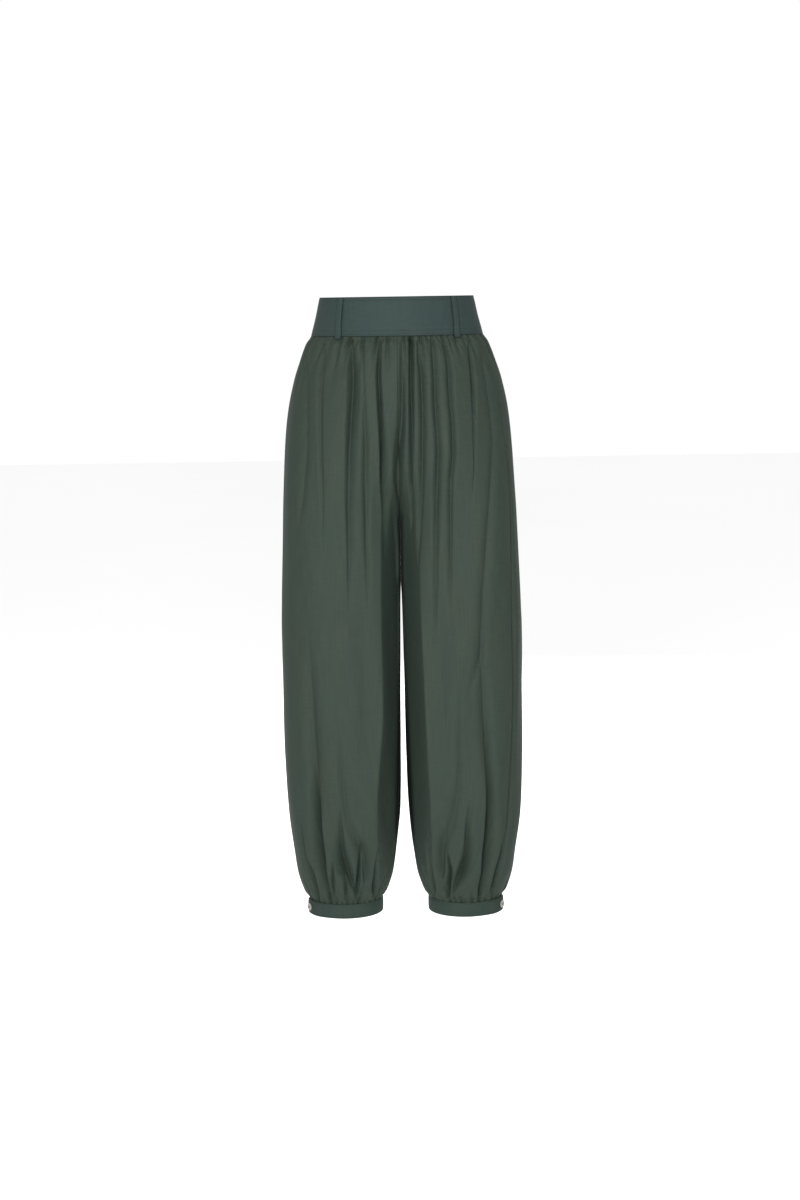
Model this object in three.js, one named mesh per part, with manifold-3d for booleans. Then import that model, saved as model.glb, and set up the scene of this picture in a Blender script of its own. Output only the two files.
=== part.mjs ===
// High-waisted balloon trousers, filled out as worn: a shaped waistband with belt loops, four leg
// panels gathered into the band and into buttoned ankle cuffs.
// Millimetres, +Z up, the front faces -Y and the wearer's left side is +X.
// The origin is the centre of the waist at half the waistband's height.

import * as THREE from 'three';
import { mergeVertices } from 'three/addons/utils/BufferGeometryUtils.js';
import Module from 'manifold-3d';

const wasm = await Module();
wasm.setup();

// Driving dimensions
const seamGap = 0.3;
const halfGap = seamGap / 2;
const bandHeight = 60;
const bandTop = bandHeight / 2;
const bandFoot = -bandHeight / 2;
const bandWall = 2.5;
const panelWall = 2;
const panelColumns = 36;
const columnsPerGather = 4;
const hipDrop = 170;
const cuffTop = -946;
const panelTop = bandFoot - seamGap;
const panelFoot = cuffTop + seamGap;
const cuffHeight = 24;
const cuffWall = 2.2;
const loopWidth = 12;
const loopWall = 1.3;
const buttonRadius = 6.5;
const buttonThickness = 2.6;

// Colours taken by eye from the garment
const clothColour = 0x44544b;
const bandColour = 0x42544e;
const buttonColour = 0x969b94;

// Level sections of the waistband: half width at the sides, half depth in front and behind
const bandSections = [
  { z: bandTop, outer: 120.8, centre: 0, front: 87, back: 88, power: 2 },
  { z: 0, outer: 127.1, centre: 0, front: 92, back: 93, power: 2 },
  { z: bandFoot, outer: 135.6, centre: 0, front: 98, back: 99, power: 2 },
];

// Level sections of one leg: how far out it reaches, how far its own centre lies from the middle
// of the body, its half depth in front and behind, and how square its outline is
const legSections = [
  { z: panelTop, outer: 136, centre: 0, front: 97.6, back: 98.8, power: 2 },
  { z: -40, outer: 141.6, centre: 0, front: 102, back: 103.5, power: 2 },
  { z: -60, outer: 150.6, centre: 3, front: 107, back: 110, power: 2 },
  { z: -100, outer: 164.3, centre: 17, front: 112, back: 118, power: 2.05 },
  { z: -150, outer: 174, centre: 39, front: 113.5, back: 124, power: 2.15 },
  { z: -200, outer: 179.2, centre: 60, front: 112.5, back: 126, power: 2.25 },
  { z: -245, outer: 182.5, centre: 76.5, front: 110, back: 124, power: 2.3 },
  { z: -282, outer: 185, centre: 88, front: 107, back: 120, power: 2.3 },
  { z: -306, outer: 186.4, centre: 93.4, front: 105, back: 117, power: 2.3 },
  { z: -400, outer: 190.4, centre: 95.5, front: 99, back: 107, power: 2.3 },
  { z: -500, outer: 193.6, centre: 97.7, front: 95, back: 101, power: 2.3 },
  { z: -650, outer: 193.3, centre: 98.4, front: 93, back: 96, power: 2.3 },
  { z: -750, outer: 191.2, centre: 98.3, front: 91, back: 92, power: 2.3 },
  { z: -800, outer: 189, centre: 98.2, front: 88, back: 88, power: 2.25 },
  { z: -850, outer: 183.7, centre: 97.9, front: 81, back: 81, power: 2.2 },
  { z: -900, outer: 175.6, centre: 98, front: 70, back: 70, power: 2.1 },
  { z: -930, outer: 166.9, centre: 98.3, front: 59, back: 59, power: 2 },
  { z: panelFoot, outer: 159, centre: 98.3, front: 50.6, back: 50.6, power: 2 },
];

// Heights of the rings of points that carry the leg panels, close together where the cloth turns
const panelHeights = [
  panelTop, -37, -48, -66, -95, -140, -195, -245, -282, -298, -306, -360, -450, -560, -670, -760,
  -825, -870, -902, -924, -938, panelFoot,
];

// Gathers at the waist seam: distance from the middle along the seam, depth, and how far they run
const waistGathers = {
  front_left: [
    { at: 10, depth: 2.6, length: 110 },
    { at: 22, depth: 5.2, length: 200 },
    { at: 38, depth: 3.8, length: 130 },
    { at: 48, depth: 2.4, length: 60 },
    { at: 59, depth: 3, length: 110 },
    { at: 77, depth: 3.6, length: 130 },
    { at: 99, depth: 3, length: 60 },
    { at: 127, depth: 3.8, length: 150 },
    { at: 157, depth: 3, length: 80 },
  ],
  front_right: [
    { at: 14, depth: 2.6, length: 50 },
    { at: 24, depth: 2.2, length: 45 },
    { at: 34, depth: 4.2, length: 190 },
    { at: 53, depth: 3.6, length: 140 },
    { at: 78, depth: 5, length: 240 },
    { at: 91, depth: 2.6, length: 45 },
    { at: 107, depth: 2.4, length: 40 },
    { at: 125, depth: 3.8, length: 150 },
    { at: 154, depth: 3, length: 70 },
  ],
  back_left: [
    { at: 12, depth: 3.2, length: 90 },
    { at: 30, depth: 4.4, length: 190 },
    { at: 46, depth: 3, length: 60 },
    { at: 62, depth: 4, length: 150 },
    { at: 82, depth: 3.4, length: 70 },
    { at: 101, depth: 4.2, length: 180 },
    { at: 119, depth: 3, length: 60 },
    { at: 139, depth: 3.8, length: 130 },
    { at: 162, depth: 3, length: 70 },
  ],
  back_right: [
    { at: 15, depth: 3.8, length: 150 },
    { at: 29, depth: 3, length: 60 },
    { at: 44, depth: 4.2, length: 170 },
    { at: 64, depth: 3.2, length: 80 },
    { at: 80, depth: 4, length: 160 },
    { at: 99, depth: 3, length: 60 },
    { at: 117, depth: 4.2, length: 190 },
    { at: 140, depth: 3.2, length: 80 },
    { at: 160, depth: 3, length: 70 },
  ],
};

// The largest folds: each row is a point on the fold's valley line, with its depth there
const frontFolds = [
  { width: 13, path: [
    { z: -36, x: -74, depth: 2.5 },
    { z: -170, x: -76, depth: 4 },
    { z: -310, x: -82, depth: 3 },
    { z: -440, x: -85, depth: 0 },
  ] },
  { width: 11, path: [
    { z: -42, x: -32, depth: 3 },
    { z: -220, x: -25, depth: 5 },
    { z: -380, x: -24, depth: 3 },
    { z: -600, x: -26, depth: 3 },
    { z: -765, x: -35, depth: 4 },
    { z: -886, x: -44, depth: 3 },
    { z: -930, x: -52, depth: 0 },
  ] },
  { width: 13, path: [
    { z: -50, x: -115, depth: 2 },
    { z: -216, x: -117, depth: 3 },
    { z: -436, x: -122, depth: 0 },
  ] },
  { width: 13, path: [
    { z: -516, x: -140, depth: 0 },
    { z: -678, x: -142, depth: 3 },
    { z: -793, x: -137, depth: 7 },
    { z: -880, x: -131, depth: 7 },
    { z: -938, x: -122, depth: 0 },
  ] },
  { width: 9, path: [
    { z: -776, x: -109, depth: 0 },
    { z: -861, x: -97, depth: 5 },
    { z: -894, x: -88, depth: 7 },
    { z: -935, x: -80, depth: 0 },
  ] },
  { width: 9, path: [
    { z: -39, x: 21, depth: 2 },
    { z: -126, x: 17, depth: 5 },
    { z: -187, x: 11, depth: 6 },
    { z: -279, x: 0, depth: 2 },
    { z: -306, x: 0, depth: 0 },
  ] },
  { width: 11, path: [
    { z: -42, x: 35, depth: 2 },
    { z: -111, x: 38, depth: 3 },
    { z: -218, x: 35, depth: 3 },
    { z: -378, x: 27, depth: 3 },
    { z: -600, x: 25, depth: 3 },
    { z: -767, x: 33, depth: 4 },
    { z: -871, x: 38, depth: 3 },
    { z: -930, x: 47, depth: 0 },
  ] },
  { width: 12, path: [
    { z: -46, x: 70, depth: 1 },
    { z: -173, x: 83, depth: 4 },
    { z: -265, x: 78, depth: 3 },
    { z: -376, x: 77, depth: 0 },
  ] },
  { width: 13, path: [
    { z: -75, x: 134, depth: 2 },
    { z: -146, x: 145, depth: 3 },
    { z: -377, x: 131, depth: 2 },
    { z: -520, x: 126, depth: 3 },
    { z: -682, x: 131, depth: 4 },
    { z: -748, x: 136, depth: 6 },
    { z: -823, x: 131, depth: 7 },
    { z: -899, x: 125, depth: 6 },
    { z: -935, x: 119, depth: 0 },
  ] },
  { width: 9, path: [
    { z: -763, x: 121, depth: 0 },
    { z: -847, x: 97, depth: 4 },
    { z: -898, x: 83, depth: 7 },
    { z: -935, x: 76, depth: 0 },
  ] },
];

const backFolds = [
  { width: 12, path: [
    { z: -45, x: -46, depth: 2 },
    { z: -160, x: -50, depth: 4 },
    { z: -330, x: -42, depth: 3 },
    { z: -470, x: -38, depth: 0 },
  ] },
  { width: 13, path: [
    { z: -60, x: -108, depth: 2 },
    { z: -220, x: -116, depth: 4 },
    { z: -420, x: -120, depth: 2 },
    { z: -700, x: -128, depth: 3 },
    { z: -860, x: -126, depth: 6 },
    { z: -935, x: -118, depth: 0 },
  ] },
  { width: 10, path: [
    { z: -780, x: -70, depth: 0 },
    { z: -860, x: -80, depth: 5 },
    { z: -900, x: -84, depth: 6 },
    { z: -936, x: -88, depth: 0 },
  ] },
  { width: 12, path: [
    { z: -45, x: 60, depth: 2 },
    { z: -150, x: 66, depth: 4 },
    { z: -300, x: 58, depth: 3 },
    { z: -460, x: 52, depth: 0 },
  ] },
  { width: 13, path: [
    { z: -60, x: 118, depth: 2 },
    { z: -240, x: 126, depth: 3 },
    { z: -520, x: 134, depth: 3 },
    { z: -800, x: 136, depth: 6 },
    { z: -935, x: 124, depth: 0 },
  ] },
  { width: 10, path: [
    { z: -770, x: 94, depth: 0 },
    { z: -850, x: 86, depth: 5 },
    { z: -900, x: 80, depth: 6 },
    { z: -936, x: 76, depth: 0 },
  ] },
];

// A belt loop's distance off the cloth beneath it, from the top of the band to below its seam
const loopRows = [
  { z: 29.6, lift: 0.3 },
  { z: 23, lift: 0.5 },
  { z: 12, lift: 2 },
  { z: -10, lift: 2.4 },
  { z: -22, lift: 1.2 },
  { z: -28, lift: 1 },
  { z: -34, lift: 2.1 },
];

// Where each belt loop crosses the top and the foot of the band; face is -1 in front, 1 behind
const beltLoops = [
  { name: 'belt_loop_front_left', face: -1, top: 87, foot: 91.5 },
  { name: 'belt_loop_front_right', face: -1, top: -85.5, foot: -90 },
  { name: 'belt_loop_back_left', face: 1, top: 72, foot: 78 },
  { name: 'belt_loop_back_right', face: 1, top: -72, foot: -78 },
];

const frontFace = -1;
const backFace = 1;
const leftSide = 1;
const rightSide = -1;

// A smooth curve down one column of a table, without overshoot between its rows
function smoothColumn(rows, key) {
  const slopes = rows.slice(1).map((row, i) => (row[key] - rows[i][key]) / (row.z - rows[i].z));
  const tangents = rows.map((row, i) => {
    const above = slopes[Math.max(i - 1, 0)];
    const below = slopes[Math.min(i, slopes.length - 1)];
    return above * below > 0 ? (2 * above * below) / (above + below) : 0;
  });
  return (z) => {
    const height = THREE.MathUtils.clamp(z, rows.at(-1).z, rows[0].z);
    const next = Math.max(rows.findIndex((row) => row.z <= height), 1);
    const from = rows[next - 1];
    const step = rows[next].z - from.z;
    const t = (height - from.z) / step;
    const rise = rows[next][key] - from[key];
    const ease = t * t * (3 - 2 * t);
    const leave = t * (1 - t) * (1 - t) * tangents[next - 1];
    const arrive = t * t * (t - 1) * tangents[next];
    return from[key] + rise * ease + step * (leave + arrive);
  };
}

function smoothTable(rows) {
  const keys = Object.keys(rows[0]).filter((key) => key !== 'z');
  const columns = keys.map((key) => [key, smoothColumn(rows, key)]);
  return (z) => Object.fromEntries(columns.map(([key, curve]) => [key, curve(z)]));
}

const bandAt = smoothTable(bandSections);
const legAt = smoothTable(legSections);

const signedPower = (value, power) => Math.sign(value) * Math.abs(value) ** power;

// One quarter of the garment at one height, from the middle of the body or the inside leg round
// to the side seam. x runs outwards along the body's width, y away from its middle plane.
class QuarterSection extends THREE.Curve {
  constructor(size, face) {
    super();
    this.centre = size.centre;
    this.half = size.outer - size.centre;
    this.depth = face === frontFace ? size.front : size.back;
    this.power = size.power;
    const reach = Math.min((this.centre - halfGap) / this.half, 1);
    this.start = Math.acos(-signedPower(reach, this.power / 2));
  }

  getPoint(share, target = new THREE.Vector3()) {
    const angle = this.start * (1 - share);
    const x = this.centre + this.half * signedPower(Math.cos(angle), 2 / this.power);
    const y = halfGap + this.depth * Math.abs(Math.sin(angle)) ** (2 / this.power);
    return target.set(x, y, 0);
  }

  // The level direction straight out of the cloth
  getOutward(share) {
    const along = this.getTangentAt(share);
    return new THREE.Vector3(-along.y, along.x, 0);
  }

  // The share of the length at which the section has reached x
  shareAt(x) {
    let low = 0;
    let high = 1;
    while (high - low > 1e-5) {
      const middle = (low + high) / 2;
      if (this.getPointAt(middle).x < x) low = middle;
      else high = middle;
    }
    return low;
  }
}

// Puts a point of a quarter section on its own side and face of the body
const place = (point, side, face, z) => new THREE.Vector3(side * point.x, face * point.y, z);

// A closed wall between two grids of points, whose rows go down and columns left to right as
// seen from outside
function clothWall(outer, inner) {
  const points = [];
  const quad = (a, b, c, d) => points.push(a, b, c, a, c, d);
  const lastRow = outer.length - 1;
  const lastColumn = outer[0].length - 1;
  for (let i = 0; i < lastRow; i++) {
    for (let j = 0; j < lastColumn; j++) {
      quad(outer[i][j], outer[i + 1][j], outer[i + 1][j + 1], outer[i][j + 1]);
      quad(inner[i][j + 1], inner[i + 1][j + 1], inner[i + 1][j], inner[i][j]);
    }
    quad(inner[i][0], inner[i + 1][0], outer[i + 1][0], outer[i][0]);
    quad(outer[i][lastColumn], outer[i + 1][lastColumn], inner[i + 1][lastColumn], inner[i][lastColumn]);
  }
  for (let j = 0; j < lastColumn; j++) {
    quad(outer[0][j], outer[0][j + 1], inner[0][j + 1], inner[0][j]);
    quad(inner[lastRow][j], inner[lastRow][j + 1], outer[lastRow][j + 1], outer[lastRow][j]);
  }
  return new THREE.BufferGeometry().setFromPoints(points);
}

// Turns the rows round where a mirrored piece would come out inside out
const turned = (grid, mirrored) => (mirrored ? grid.map((row) => [...row].reverse()) : grid);

const fadeOut = (distance, length) => Math.max(0, 1 - distance / length) ** 2;

// The share of the panel's width at which each column of points leaves the waist seam: gathers
// have their valleys on every fourth column, and the columns even out over the hips
function columnShare(column, gathers, seamLength) {
  const halfStep = columnsPerGather / 2;
  const knots = [0, ...gathers.map((gather) => gather.at / seamLength), 1];
  const places = knots.map((_, i) => i * columnsPerGather - halfStep);
  places[0] = 0;
  places[places.length - 1] = panelColumns;
  const next = Math.max(places.findIndex((spot) => spot >= column), 1);
  const part = (column - places[next - 1]) / (places[next] - places[next - 1]);
  return THREE.MathUtils.lerp(knots[next - 1], knots[next], part);
}

// How far a gather at the waist seam moves the cloth: in at the valleys, out between them
function waistGather(column, z, gathers) {
  const drop = panelTop - z;
  const pinched = THREE.MathUtils.lerp(0.55, 1, THREE.MathUtils.smoothstep(drop, 0, 14));
  const row = (column - columnsPerGather / 2) / columnsPerGather;
  if (Number.isInteger(row)) {
    const gather = gathers[row];
    return -0.6 * pinched * gather.depth * fadeOut(drop, gather.length);
  }
  if (column % columnsPerGather !== 0 || column === 0 || column === panelColumns) return 0;
  const pair = [gathers[row - 0.5], gathers[row + 0.5]];
  const swells = pair.map((gather) => gather.depth * fadeOut(drop, gather.length));
  return 0.2 * pinched * (swells[0] + swells[1]);
}

// How far a gather at the cuff moves the cloth; each second column is a valley
function cuffGather(column, z, side, face) {
  if (column === 0 || column === panelColumns) return 0;
  const rise = z - panelFoot;
  const uneven = Math.sin(2.4 * column + side + 2 * face);
  const length = 52 + 22 * uneven;
  const depth = 1.9 + 0.4 * Math.sin(1.7 * column - side);
  const way = column % 2 === 0 ? 1 : -1;
  return way * depth * fadeOut(rise, length);
}

const readFolds = (folds) => folds.map((fold) => ({
  width: fold.width,
  top: fold.path[0].z,
  foot: fold.path.at(-1).z,
  at: smoothTable(fold.path),
}));

const foldsOn = { [frontFace]: readFolds(frontFolds), [backFace]: readFolds(backFolds) };

// How far the large folds move the cloth at a place on one face
function foldDepth(x, z, face) {
  return foldsOn[face].reduce((sum, fold) => {
    if (z > fold.top || z < fold.foot) return sum;
    const { x: valley, depth } = fold.at(z);
    return sum - depth * Math.exp(-(((x - valley) / fold.width) ** 2));
  }, 0);
}

// One leg panel as a closed wall, cut along the side seam, the inside leg and the body's middle
function legPanel(name, side, face) {
  const gathers = waistGathers[name];
  const seamLength = new QuarterSection(legAt(panelTop), face).getLength();
  const outer = [];
  const inner = [];
  for (const z of panelHeights) {
    const section = new QuarterSection(legAt(z), face);
    const settled = THREE.MathUtils.smoothstep(panelTop - z, 0, hipDrop);
    const outerRow = [];
    const innerRow = [];
    for (let column = 0; column <= panelColumns; column++) {
      const gathered = columnShare(column, gathers, seamLength);
      const share = THREE.MathUtils.lerp(gathered, column / panelColumns, settled);
      const point = section.getPointAt(share);
      const outward = section.getOutward(share);
      const move = waistGather(column, z, gathers) + cuffGather(column, z, side, face)
        + foldDepth(side * point.x, z, face);
      const clearOfMiddle = THREE.MathUtils.smoothstep(point.x - halfGap, 0, 12);
      point.x = Math.max(point.x + move * outward.x * clearOfMiddle, halfGap);
      point.y = Math.max(point.y + move * outward.y, halfGap);
      outerRow.push(place(point, side, face, z));
      innerRow.push(place(point.addScaledVector(outward, -panelWall), side, face, z));
    }
    outer.push(outerRow);
    inner.push(innerRow);
  }
  const mirrored = side * face > 0;
  return clothWall(turned(outer, mirrored), turned(inner, mirrored));
}

// Half of the waistband as a closed wall from side seam to side seam
function bandHalf(face, columns, ruche) {
  const outer = [];
  const inner = [];
  for (const { z } of bandSections) {
    const section = new QuarterSection({ ...bandAt(z), centre: 0 }, face);
    const outerRow = [];
    const innerRow = [];
    for (let column = 0; column <= columns; column++) {
      const across = (2 * column) / columns - 1;
      const share = Math.abs(across);
      const side = Math.sign(across) || 1;
      const point = section.getPointAt(share);
      if (share === 0) point.x = 0;
      const outward = section.getOutward(share);
      const wave = column % 2 === 0 ? 0 : -ruche;
      point.addScaledVector(outward, wave);
      outerRow.push(place(point, side, face, z));
      innerRow.push(place(point.addScaledVector(outward, -bandWall), side, face, z));
    }
    outer.push(outerRow);
    inner.push(innerRow);
  }
  return clothWall(turned(outer, face > 0), turned(inner, face > 0));
}

// A belt loop as a strap that follows the band, stands off it in the middle and ends below it
function beltLoop({ face, top, foot }) {
  const side = Math.sign(top);
  const outer = [];
  const inner = [];
  for (const { z, lift } of loopRows) {
    const size = z > bandFoot ? bandAt(z) : legAt(z);
    const section = new QuarterSection({ ...size, centre: 0 }, face);
    const down = (loopRows[0].z - z) / (loopRows[0].z - loopRows.at(-1).z);
    const share = section.shareAt(Math.abs(THREE.MathUtils.lerp(top, foot, down)));
    const middle = section.getPointAt(share);
    const outward = section.getOutward(share);
    const along = new THREE.Vector3(outward.y, -outward.x, 0);
    const edge = (across, height) => {
      const point = middle.clone().addScaledVector(along, across);
      return place(point.addScaledVector(outward, height), side, face, z);
    };
    const half = loopWidth / 2;
    outer.push([edge(-half, lift + loopWall), edge(0, lift + loopWall), edge(half, lift + loopWall)]);
    inner.push([edge(-half, lift), edge(0, lift), edge(half, lift)]);
  }
  const mirrored = side * face > 0;
  return clothWall(turned(outer, mirrored), turned(inner, mirrored));
}

// The cuff's oval and its overlap at the outer side, in degrees from straight out to the side;
// the strip starts beneath its own end, a little to the front
const cuffOval = { centre: 98.3, half: 60.7, depth: 50.6 };
const overlapStart = -34;
const overlapEnd = -10;
const overlapRamp = 34;
const cuffColumns = 48;

function cuffPoint(degrees, lift) {
  const angle = THREE.MathUtils.degToRad(degrees);
  const x = cuffOval.centre + (cuffOval.half + lift) * Math.cos(angle);
  const y = (cuffOval.depth + lift) * Math.sin(angle);
  return new THREE.Vector3(x, y, 0);
}

function cuffStrip(side) {
  const outer = [];
  const inner = [];
  for (const z of [cuffTop, cuffTop - cuffHeight]) {
    const outerRow = [];
    const innerRow = [];
    for (let column = 0; column <= cuffColumns; column++) {
      const turn = 360 + overlapEnd - overlapStart;
      const degrees = overlapStart + (turn * column) / cuffColumns;
      const meeting = 360 + overlapStart;
      const over = THREE.MathUtils.smoothstep(degrees, meeting - overlapRamp, meeting);
      const lift = (cuffWall + seamGap) * over;
      outerRow.push(place(cuffPoint(degrees, lift), side, 1, z));
      innerRow.push(place(cuffPoint(degrees, lift - cuffWall), side, 1, z));
    }
    outer.push(outerRow);
    inner.push(innerRow);
  }
  return clothWall(turned(outer, side < 0), turned(inner, side < 0));
}

// A solid for cutting, from a closed geometry
function toSolid(geometry) {
  geometry.deleteAttribute('normal');
  geometry.deleteAttribute('uv');
  const merged = mergeVertices(geometry);
  const mesh = new wasm.Mesh({
    numProp: 3,
    vertProperties: merged.attributes.position.array,
    triVerts: new Uint32Array(merged.index.array),
  });
  return new wasm.Manifold(mesh);
}

function toGeometry(solid) {
  const mesh = solid.getMesh();
  const geometry = new THREE.BufferGeometry();
  geometry.setAttribute('position', new THREE.BufferAttribute(mesh.vertProperties, 3));
  geometry.setIndex(new THREE.BufferAttribute(mesh.triVerts, 1));
  return geometry;
}

// A flat round button with a raised rim and four sewing holes, its back at y = 0
const buttonProfile = [
  { radius: 0, height: 0 },
  { radius: buttonRadius - 1.2, height: 0 },
  { radius: buttonRadius, height: 0.9 },
  { radius: buttonRadius, height: buttonThickness - 0.7 },
  { radius: buttonRadius - 0.7, height: buttonThickness },
  { radius: buttonRadius - 1.8, height: buttonThickness - 0.1 },
  { radius: buttonRadius - 2.5, height: buttonThickness - 0.9 },
  { radius: 0, height: buttonThickness - 0.9 },
];
const holeRadius = 0.9;
const holeSpacing = 1.7;

function buttonGeometry() {
  const outline = buttonProfile.map((row) => new THREE.Vector2(row.radius, row.height));
  const disc = toSolid(new THREE.LatheGeometry(outline, 16));
  const corners = [[1, 1], [1, -1], [-1, 1], [-1, -1]];
  return toGeometry(corners.reduce((solid, [across, up]) => {
    const hole = new THREE.CylinderGeometry(holeRadius, holeRadius, 4 * buttonThickness, 6);
    hole.translate(across * holeSpacing, 0, up * holeSpacing);
    return solid.subtract(toSolid(hole));
  }, disc));
}

// A button lies on the middle of the overlap and looks outwards and a little to the front
function cuffButton(name, side) {
  const degrees = (overlapStart + overlapEnd) / 2;
  const seat = cuffPoint(degrees, cuffWall + 2 * seamGap);
  const outward = cuffPoint(degrees + 1, 0).sub(cuffPoint(degrees - 1, 0)).normalize();
  outward.set(side * outward.y, -outward.x, 0);
  const button = new THREE.Mesh(buttonGeometry(), material(buttonColour, 0.45));
  button.name = name;
  button.position.copy(place(seat, side, 1, cuffTop - cuffHeight / 2));
  button.quaternion.setFromUnitVectors(new THREE.Vector3(0, 1, 0), outward);
  return button;
}

function material(color, roughness) {
  return new THREE.MeshStandardMaterial({ color, roughness, metalness: 0 });
}

function clothMesh(name, geometry, colour) {
  const mesh = new THREE.Mesh(geometry, material(colour, 0.6));
  mesh.name = name;
  return mesh;
}

const bandColumns = 28;
const rucheColumns = 48;
const rucheDepth = 1.4;

const trousers = new THREE.Group();
trousers.add(clothMesh('waistband_front', bandHalf(frontFace, bandColumns, 0), bandColour));
trousers.add(clothMesh('waistband_back', bandHalf(backFace, rucheColumns, rucheDepth), bandColour));
for (const loop of beltLoops) trousers.add(clothMesh(loop.name, beltLoop(loop), bandColour));
trousers.add(clothMesh('front_left', legPanel('front_left', leftSide, frontFace), clothColour));
trousers.add(clothMesh('front_right', legPanel('front_right', rightSide, frontFace), clothColour));
trousers.add(clothMesh('back_left', legPanel('back_left', leftSide, backFace), clothColour));
trousers.add(clothMesh('back_right', legPanel('back_right', rightSide, backFace), clothColour));
trousers.add(clothMesh('cuff_left', cuffStrip(leftSide), clothColour));
trousers.add(clothMesh('cuff_right', cuffStrip(rightSide), clothColour));
trousers.add(cuffButton('cuff_button_left', leftSide));
trousers.add(cuffButton('cuff_button_right', rightSide));

export default trousers;
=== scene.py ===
"""High-waisted balloon trousers, filled out as worn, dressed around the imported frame.

Tables and sizes are in millimetres and MM turns them into Blender's metres when a mesh is made.
The frame is the part's own: +Z up, the front faces -Y, the wearer's left side is +X, and the
origin is the centre of the waist at half the waistband's height.
"""

import math

import bpy
import numpy as np
from mathutils import Matrix, Vector


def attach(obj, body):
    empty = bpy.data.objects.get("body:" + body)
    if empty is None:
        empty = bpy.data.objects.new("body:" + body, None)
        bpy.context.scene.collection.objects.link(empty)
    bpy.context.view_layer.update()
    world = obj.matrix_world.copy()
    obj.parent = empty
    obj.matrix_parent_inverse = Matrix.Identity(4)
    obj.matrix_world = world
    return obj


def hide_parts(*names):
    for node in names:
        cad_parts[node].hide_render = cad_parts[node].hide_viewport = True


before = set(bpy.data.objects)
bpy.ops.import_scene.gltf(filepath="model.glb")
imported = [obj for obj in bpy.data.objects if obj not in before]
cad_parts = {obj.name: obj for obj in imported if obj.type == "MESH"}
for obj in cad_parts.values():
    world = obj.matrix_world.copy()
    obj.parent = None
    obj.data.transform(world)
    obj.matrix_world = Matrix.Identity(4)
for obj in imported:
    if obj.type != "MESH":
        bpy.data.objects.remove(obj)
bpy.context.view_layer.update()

MM = 0.001
FRONT, BACK = -1, 1
LEFT, RIGHT = 1, -1

# Heights and thicknesses; TUCK is how far a leg panel runs on behind the band and its cuff
BAND_TOP, BAND_FOOT = 30.0, -30.0
BAND_THICK = 2.0
CUFF_TOP, CUFF_FOOT = -946.0, -970.0
CUFF_THICK = 2.0
CROTCH = -306.0
CLOTH_THICK = 0.7
TUCK = 7.0
PANEL_TOP, PANEL_FOOT = BAND_FOOT + TUCK, CUFF_TOP - TUCK
PANEL_COLUMNS, PANEL_ROWS = 258, 162


# Tables

def table(names, rows):
    """A table with named columns, as one array for each name."""
    return dict(zip(names.split(), np.array(rows, float).T))


# Level sections of the waistband: half width at the sides, half depth in front and behind
BAND = table("z outer centre front back power", (
    (30, 120.8, 0, 87, 88, 2),
    (0, 127.1, 0, 92, 93, 2),
    (-30, 135.6, 0, 98, 99, 2),
))

# Level sections of one leg: how far out it reaches, how far its own centre lies from the middle
# of the body, its half depth in front and behind, and how square its outline is
LEG = table("z outer centre front back power", (
    (-22, 131.8, 0, 94.8, 95.8, 2),
    (-27, 133.2, 0, 95.6, 96.8, 2),
    (-31, 136, 0, 97.6, 98.8, 2),
    (-40, 141.6, 0, 102, 103.5, 2),
    (-60, 150.6, 3, 107, 110, 2),
    (-100, 164.3, 17, 112, 118, 2.05),
    (-150, 174, 39, 113.5, 124, 2.15),
    (-200, 179.2, 60, 112.5, 126, 2.25),
    (-245, 182.5, 76.5, 110, 124, 2.3),
    (-282, 185, 88, 107, 120, 2.3),
    (-306, 186.4, 91.6, 105, 117, 2.3),
    (-330, 187.5, 93.0, 103, 114.5, 2.3),
    (-360, 188.8, 94.1, 101, 111, 2.3),
    (-400, 190.4, 95.0, 99, 107, 2.3),
    (-425, 191.4, 95.7, 98, 105, 2.3),
    (-445, 192.1, 96.5, 97.3, 104, 2.3),
    (-500, 193.5, 97.7, 95, 101, 2.3),
    (-650, 193.3, 98.4, 93, 96, 2.3),
    (-750, 191.2, 98.3, 91, 92, 2.3),
    (-800, 189, 98.2, 88, 88, 2.25),
    (-850, 183.7, 97.9, 81, 81, 2.2),
    (-900, 175.6, 98, 70, 70, 2.1),
    (-930, 166.9, 98.3, 59, 59, 2),
    (-945, 159.2, 98.3, 50.6, 50.6, 2),
    (-949, 157.2, 98.3, 48.8, 48.8, 2),
))

# Gathers at the waist seam, front: place across the body, depth, half width and how far down
WAIST_FRONT = table("x depth width length", (
    (-138, 2.4, 4, 90), (-130, 2.0, 4, 110), (-121.6, 1.2, 3, 25), (-114, 3.0, 4, 70),
    (-100, 1.8, 3.4, 55), (-86.3, 2.4, 3.4, 85), (-74, 4.4, 3.4, 60), (-61.8, 1.2, 3, 28),
    (-52.5, 3.0, 3.4, 60), (-40.3, 1.6, 2.8, 22), (-31, 4.4, 3.6, 60), (-23.4, 2.0, 2.8, 26),
    (-14.2, 2.4, 3.2, 80), (-4, 1.0, 2.6, 30), (10.4, 2.6, 3, 120), (21.1, 6.0, 4, 80),
    (36.5, 3.6, 3.4, 60), (45.7, 2.4, 2.8, 34), (53.4, 2.4, 3, 60), (62.6, 1.0, 2.6, 18),
    (70.2, 2.8, 3, 40), (79, 1.4, 2.6, 60), (88.6, 2.4, 3.2, 45), (101, 1.6, 3, 50),
    (112, 3.2, 3.4, 60), (122.4, 1.8, 3, 24), (131.6, 2.6, 3.6, 60), (140.8, 2.4, 4, 90),
))

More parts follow.
